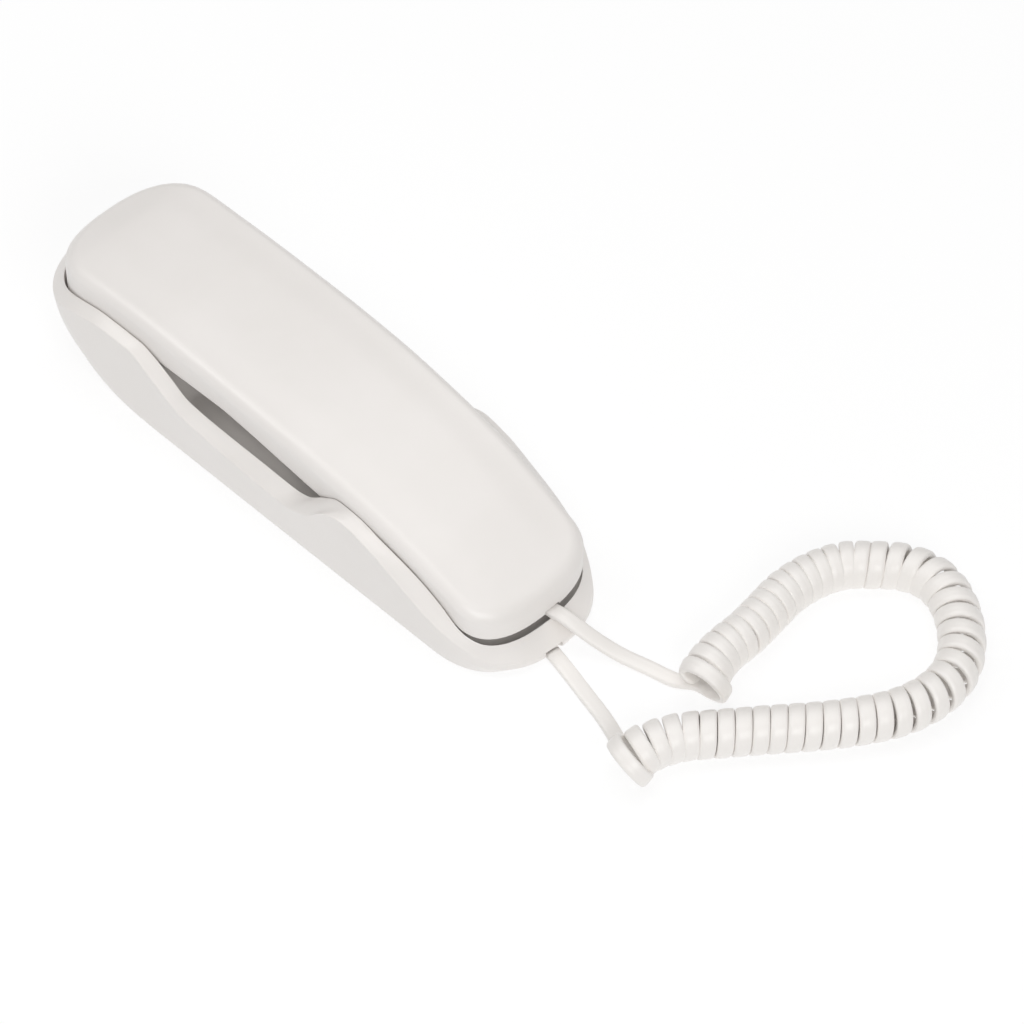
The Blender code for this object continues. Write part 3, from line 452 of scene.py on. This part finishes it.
# how much wider than its lip the handset is at its widest line, and the cradle is at its rim
flare = smooth_line([(-97, 0.1), (-80, 0.2), (-65, 0.4), (-50, 0.8), (-30, 1.4), (-10, 1.9), (10, 2.1),
                     (30, 1.9), (50, 1.6), (65, 1.0), (80, 0.4), (96, 0.1)])
cradle_flare = smooth_line([(-97, 0.5), (-65, 0.65), (-50, 0.8), (-38, 0.6), (15, 0.6), (27, 0.85),
                            (35, 1.65), (50, 1.6), (65, 1.1), (80, 0.55), (96, 0.5)])
panel_slope = (PANEL_LOW - PANEL_HIGH) / (PANEL_END - PANEL_START)
handset_under = smooth_line([(-97, 26.0), (-88, 24.0), (-58, 24.0), (-44, 32.0), (-18, 32.2),
                             (PANEL_START, PANEL_HIGH), (10, PANEL_HIGH + 20 * panel_slope),
                             (30, PANEL_HIGH + 40 * panel_slope), (PANEL_END, PANEL_LOW),
                             (70, 18.0), (95, 12.0)])
ear_end = smooth_line([(0, WALL_BACK), (0.5, -76), (1.5, -81), (3, -85), (6, -89.2), (10, -93),
                       (15, -96.6), (22, -99.2), (RIM_BACK, BASE_BACK)])    # x at each height


def base_half_width(x):
    tuck = np.clip((x - TUCK_START) / TUCK_LENGTH, 0.0, 1.0)
    return BASE_HALF_WIDTH - BASE_TAPER * x - BASE_TUCK * tuck


def handset_half_width(x):
    return 24.1 - 0.0151 * x + 0.000100 * x * x


def cradle_half_width(x):
    return handset_half_width(x) + CRADLE_GAP


def cradle_rim_width(x):
    return handset_half_width(x) + cradle_flare(x)


# ---------------------------------------------------------------- base shell
def side_width(x, share):
    """Half width of the base a share of the way up from the wall face to the rim; the sides bulge."""
    return WALL_HALF_WIDTH + (base_half_width(x) - WALL_HALF_WIDTH) * share ** 0.7


def base_outer_ring(share):
    low = float(ear_end(RIM_BACK * share))
    high = WALL_FRONT + (BASE_FRONT - WALL_FRONT) * min(1.0, 1.6 * share)
    return plan_ring(low, high, lambda x: side_width(x, share), BASE_ROUND,
                     BASE_ROUND + BASE_ROUND_GROWTH * share, lambda x: share * rim(x),
                     power=2.5 - 0.14 * share)


def hollow_ring(share, height):
    low = float(ear_end(RIM_BACK * share))
    return plan_ring(low + BASE_WALL, WALL_FRONT - BASE_WALL, lambda x: side_width(x, share) - BASE_WALL,
                     23.0, 23.5, height)


def build_base_shell():
    """One skin: the hollow inside, the wall face, the outside, the rim and the cradle."""
    ceiling = lambda x: cradle_floor(x) - FLOOR_THICKNESS
    foot_of_cradle = lambda x: cradle_floor(x) + np.minimum(1.2, 0.5 * (rim_inner(x) - cradle_floor(x)))
    rings = [plan_ring(-91.0, 92.5, lambda x: cradle_half_width(0) - 1.2 + 0 * x, 23.0, 22.0, ceiling),
             hollow_ring(0.3, lambda x: 0.45 * ceiling(x)),
             hollow_ring(0.1, lambda x: 0.15 * ceiling(x)),
             hollow_ring(0.0, lambda x: 0.0 * x)]
    rings += [base_outer_ring(share) for share in
              (0.0, 0.02, 0.045, 0.08, 0.13, 0.19, 0.26, 0.34, 0.43, 0.53, 0.64, 0.76, 0.88)]
    outer = len(rings)
    rings.append(base_outer_ring(1.0))
    rings.append(plan_ring(-95.8, 94.5, cradle_rim_width, 22.0, 17.5, rim_inner))
    rings.append(plan_ring(-95.7, 94.4, lambda x: cradle_rim_width(x) - 0.1, 21.9, 17.4,
                           lambda x: rim_inner(x) - 0.8))
    rings.append(plan_ring(-95.5, 94.3, cradle_half_width, 21.6, 17.2, foot_of_cradle))
    rings.append(plan_ring(-94.4, 93.2, lambda x: cradle_half_width(x) - 1.2, 21.0, 17.0, cradle_floor))
    rings = soften(rings, outer + 1, 0.5)
    rings = soften(rings, outer, 0.45)
    verts, faces = ring_faces(rings)
    shell = add_piece("base_housing", verts, faces, shell_mat)
    hook_opening = ((HOOK_X - 3.4, -4.4, 15.0), (HOOK_X + 3.4, 4.4, 28.0))
    slider_opening = ((SLIDER_X - 4.4, 20.0, SLIDER_Z - 1.9), (SLIDER_X + 4.4, 34.0, SLIDER_Z + 1.9))
    jack_opening = ((LINE_JACK_X - 5.6, 20.0, 2.9), (LINE_JACK_X + 5.6, 34.0, 10.9))
    cord_notch = ((93.2, CORD_EXIT_Y - CORD_NOTCH, -2.0), (104.0, CORD_EXIT_Y + CORD_NOTCH, 4.0))
    cut(shell, [hook_opening, slider_opening, jack_opening, cord_notch])
    shell.data.shade_smooth()
    shell.data.set_sharp_from_angle(angle=SHARP_EDGE)
    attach(shell, "base")
    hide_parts("base_shell")


build_base_shell()


# ---------------------------------------------------------------- handset
def handset_ring(inset, height, round_cut=0.0, flared=1.0):
    """An outline of the handset, `flared` of the way from its lip (0) to its widest line (1)."""
    return plan_ring(HANDSET_BACK + inset, HANDSET_FRONT - inset,
                     lambda x: handset_half_width(x) + flared * flare(x) - inset,
                     22.0 - round_cut, 14.0 - round_cut, height)


def build_handset_shell():
    """One skin: the hollow inside, the lip, the outside, the fillet and the crown."""
    wall = HANDSET_WALL
    rings = [handset_ring(7.5, lambda x: handset_top(x) - wall, 5.0),
             handset_ring(wall + 1.5, lambda x: handset_top(x) - wall - 2.0, 2.0),
             handset_ring(wall, lambda x: handset_top(x) - HANDSET_FILLET - 1.5, 1.5),
             handset_ring(wall, handset_under, 1.5, flared=0.0)]
    lip = len(rings)
    rings.append(handset_ring(0.0, handset_under, flared=0.0))
    for t in (0.1, 0.35, 0.6, 0.8):
        rings.append(handset_ring(
            0.0, lambda x, t=t: handset_under(x) * (1 - t) + (handset_top(x) - HANDSET_FILLET) * t,
            flared=t))
    for k in range(FILLET_STEPS + 1):
        a = 0.5 * math.pi * k / FILLET_STEPS
        inset = HANDSET_FILLET * (1 - math.cos(a))
        drop = HANDSET_FILLET * (1 - math.sin(a))
        rings.append(handset_ring(inset, lambda x, drop=drop: handset_top(x) - drop, 0.6 * inset))
    for k in range(1, CROWN_STEPS + 1):
        t = k / CROWN_STEPS
        inset = HANDSET_FILLET + CROWN_REACH * t
        rise = CROWN * t * t * (3 - 2 * t)
        rings.append(handset_ring(inset, lambda x, rise=rise: handset_top(x) + rise, 3.6 + 5.4 * t))
    rings = soften(rings, lip, 0.6)
    verts, faces = ring_faces(rings)
    shell = add_piece("handset_housing", verts, faces, shell_mat)
    cut(shell, [((86.0, LEAD_EXIT_Y - LEAD_NOTCH, 8.0), (96.0, LEAD_EXIT_Y + LEAD_NOTCH, 13.4))])
    shell.data.shade_smooth()
    shell.data.set_sharp_from_angle(angle=SHARP_EDGE)
    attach(shell, "handset")
    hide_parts("handset_top_shell")


build_handset_shell()


# ---------------------------------------------------------------- small pieces kept from the frame
def finish_node(name, mat, bevel=0.0, segments=3):
    """A frame piece with its own material, its points welded and its edges rounded by the bevel."""
    obj = nodes[name]
    obj.data.materials.clear()
    obj.data.materials.append(mat)
    weld = obj.modifiers.new("weld", "WELD")
    weld.merge_threshold = 0.00001
    if bevel:
        edge = obj.modifiers.new("bevel", "BEVEL")
        edge.width = bevel * MM
        edge.segments = segments
        edge.limit_method = "ANGLE"
        edge.angle_limit = math.radians(40)


for name in nodes:
    if name.startswith("key_"):
        finish_node(name, key_mat, 0.35)
    elif name.startswith(("base_screw", "handset_screw")):
        finish_node(name, steel_mat, 0.12, 2)
for name, mat, slot, bevel in (
        ("base_back_cover", cover_mat, "cover_white", 0.0),
        ("handset_bottom_shell", shell_mat, "shell_white", 0.0),
        ("hook_plunger", key_mat, "key_white", 0.4), ("ringer_switch", key_mat, "key_white", 0.3),
        ("line_jack", black_mat, "black_nylon", 0.25), ("base_cord_jack", black_mat, "black_nylon", 0.25),
        ("handset_cord_jack", black_mat, "black_nylon", 0.25),
        ("hook_switch", black_mat, "black_nylon", 0.2),
        ("receiver", black_mat, "black_nylon", 0.2), ("base_pcb", board_mat, "board_green", 0.1),
        ("handset_pcb", board_mat, "board_green", 0.1), ("keypad_mat", rubber_mat, "grey_silicone", 0.2),
        ("receiver_gasket", rubber_mat, "grey_silicone", 0.2),
        ("mic_boot", rubber_mat, "grey_silicone", 0.2),
        ("microphone", steel_mat, "zinc_steel", 0.2), ("handset_weight", steel_mat, "zinc_steel", 0.4),
        ("hook_spring", steel_mat, "zinc_steel", 0.0), ("ringer", brass_mat, "brass", 0.1),
        ("plug_handset", clear_mat, "clear_plug", 0.3), ("plug_base", clear_mat, "clear_plug", 0.3)):
    finish_node(name, mat, bevel)


# ---------------------------------------------------------------- studio
floor_mat = bpy.data.materials.new("floor")
floor_mat.use_nodes = True
floor_surface = floor_mat.node_tree.nodes["Principled BSDF"]
floor_surface.inputs["Base Color"].default_value = (0.25, 0.25, 0.25, 1.0)
floor_surface.inputs["Roughness"].default_value = 0.9
floor_surface.inputs["Specular IOR Level"].default_value = 0.0
floor_surface.inputs["Emission Color"].default_value = (1.0, 1.0, 1.0, 1.0)
floor_surface.inputs["Emission Strength"].default_value = 0.77
floor_mesh = bpy.data.meshes.new("floor")
FLOOR_REACH = 8.0               # metres
floor_corners = [(x * FLOOR_REACH, y * FLOOR_REACH, 0) for x, y in ((-1, -1), (1, -1), (1, 1), (-1, 1))]
floor_mesh.from_pydata(floor_corners, [], [(0, 1, 2, 3)])
floor_mesh.materials.append(floor_mat)
floor = bpy.data.objects.new("floor", floor_mesh)
scene.collection.objects.link(floor)

world = bpy.data.worlds.new("studio")
scene.world = world
world.use_nodes = True
background = world.node_tree.nodes["Background"]
background.inputs["Color"].default_value = (1.0, 0.995, 0.99, 1.0)
background.inputs["Strength"].default_value = 0.22


def softbox(name, place, size, power):
    """A rectangular light turned to the middle of the picture."""
    light = bpy.data.lights.new(name, "AREA")
    light.shape = "RECTANGLE"
    light.size, light.size_y = size
    light.energy = power
    obj = bpy.data.objects.new(name, light)
    obj.location = place
    obj.rotation_euler = (Vector(place) - CAMERA_TARGET).to_track_quat("Z", "Y").to_euler()
    scene.collection.objects.link(obj)


softbox("overhead", (-0.1, 0.1, 1.7), (1.8, 1.8), 16.5)
softbox("front", (1.25, -0.6, 0.95), (0.9, 0.7), 9.3)
softbox("edge", (-0.75, -0.7, 1.3), (0.6, 0.5), 3.8)
